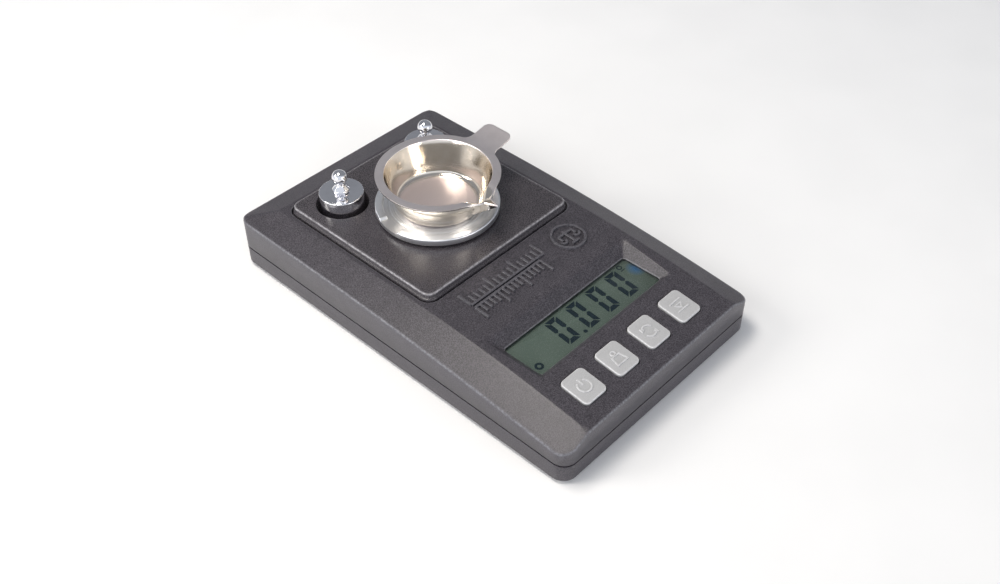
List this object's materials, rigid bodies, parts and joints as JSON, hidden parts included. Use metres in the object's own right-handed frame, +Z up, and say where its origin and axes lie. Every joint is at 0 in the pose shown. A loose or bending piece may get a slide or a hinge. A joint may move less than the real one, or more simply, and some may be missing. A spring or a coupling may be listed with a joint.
{
  "type": "digital gram scale",
  "caption": "Pocket gram scale: bevelled two-part case with display and keys, sprung weighing platform, spouted metal pan and two calibration weights standing in wells.",
  "frame": {"origin": "middle of the case's footprint, on the plane that the rubber feet stand on", "axes": "+X to the right of a person reading the display, +Y from the keys towards the pan, +Z up"},
  "size_m": [0.0864, 0.14, 0.0368],
  "materials": {
    "case_plastic": "spark-eroded charcoal texture",
    "deck_plastic": "finer charcoal texture with polished edge",
    "screw_steel": "zinc plated",
    "foot_rubber": "matt black",
    "lens_plastic": "clear polished",
    "display_cell": "grey-green reflective liquid crystal",
    "strip_rubber": "layered silicone",
    "light_guide": "milky clear",
    "frame_plastic": "natural white",
    "board_laminate": "green solder mask",
    "chip_epoxy": "moulded black",
    "capacitor_can": "bright can",
    "switch_plastic": "moulded black",
    "plunger_plastic": "natural white",
    "beam_aluminium": "milled",
    "gauge_coating": "silicone coating",
    "cable_grey": "insulation",
    "cable_red": "insulation",
    "cable_black": "insulation",
    "battery_jacket": "printed metal jacket without lettering",
    "contact_spring_steel": "nickel plated",
    "platform_aluminium": "turned, satin",
    "pan_metal": "polished nickel with satin flange",
    "weight_chrome": "mirror polished",
    "key_plastic": "silver-grey satin"
  },
  "bodies": {
    "case": {"top_cover": "case_plastic", "base_cover": "case_plastic", "deck_plate": "deck_plastic", "case_screws": "screw_steel", "rubber_feet": "foot_rubber", "display_lens": "lens_plastic", "display_glass": "display_cell", "contact_strips": "strip_rubber", "backlight_panel": "light_guide", "display_frame": "frame_plastic", "main_board": "board_laminate", "board_screws": "screw_steel", "controller_chip": "chip_epoxy", "converter_chip": "chip_epoxy", "board_capacitors": "capacitor_can", "switch_housings": "switch_plastic", "load_cell": "beam_aluminium", "strain_gauges": "gauge_coating", "load_cell_spacer": "beam_aluminium", "load_cell_screws": "screw_steel", "overload_stop": "screw_steel", "load_cell_cable": "cable_grey", "battery_front": "battery_jacket", "battery_rear": "battery_jacket", "contact_link": "contact_spring_steel", "contact_negative": "contact_spring_steel", "contact_positive": "contact_spring_steel", "battery_cable_positive": "cable_red", "battery_cable_negative": "cable_black"},
    "platform": {"platform_disc": "platform_aluminium", "platform_bracket": "beam_aluminium", "bracket_screws": "screw_steel"},
    "pan": {"weighing_pan": "pan_metal"},
    "weight_left": {"weight_left": "weight_chrome"},
    "weight_right": {"weight_right": "weight_chrome"},
    "battery_door": {"battery_door": "case_plastic"},
    "key_power": {"button_power": "key_plastic", "plunger_power": "plunger_plastic"},
    "key_calibrate": {"button_calibrate": "key_plastic", "plunger_calibrate": "plunger_plastic"},
    "key_unit": {"button_unit": "key_plastic", "plunger_unit": "plunger_plastic"},
    "key_tare": {"button_tare": "key_plastic", "plunger_tare": "plunger_plastic"}
  },
  "joints": [
    {"name": "platform_press", "type": "slide", "parent": "case", "child": "platform", "axis": [0, 0, -1], "range_m": [0, 0.0003], "stiffness_N_per_m": 3000, "deforming": ["load_cell"]},
    {"name": "pan_lift", "type": "slide", "parent": "platform", "child": "pan", "axis": [0, 0, 1], "range_m": [0, 0.05]},
    {"name": "weight_left_lift", "type": "slide", "parent": "case", "child": "weight_left", "axis": [0, 0, 1], "range_m": [0, 0.035]},
    {"name": "weight_right_lift", "type": "slide", "parent": "case", "child": "weight_right", "axis": [0, 0, 1], "range_m": [0, 0.035]},
    {"name": "battery_door_off", "type": "slide", "parent": "case", "child": "battery_door", "axis": [0, 0, -1], "range_m": [0, 0.02]},
    {"name": "key_power_press", "type": "slide", "parent": "case", "child": "key_power", "axis": [0, 0.1196, -0.9928], "range_m": [0, 0.0004], "stiffness_N_per_m": 400},
    {"name": "key_calibrate_press", "type": "slide", "parent": "case", "child": "key_calibrate", "axis": [0, 0.1196, -0.9928], "range_m": [0, 0.0004], "stiffness_N_per_m": 400},
    {"name": "key_unit_press", "type": "slide", "parent": "case", "child": "key_unit", "axis": [0, 0.1196, -0.9928], "range_m": [0, 0.0004], "stiffness_N_per_m": 400},
    {"name": "key_tare_press", "type": "slide", "parent": "case", "child": "key_tare", "axis": [0, 0.1196, -0.9928], "range_m": [0, 0.0004], "stiffness_N_per_m": 400}
  ]
}
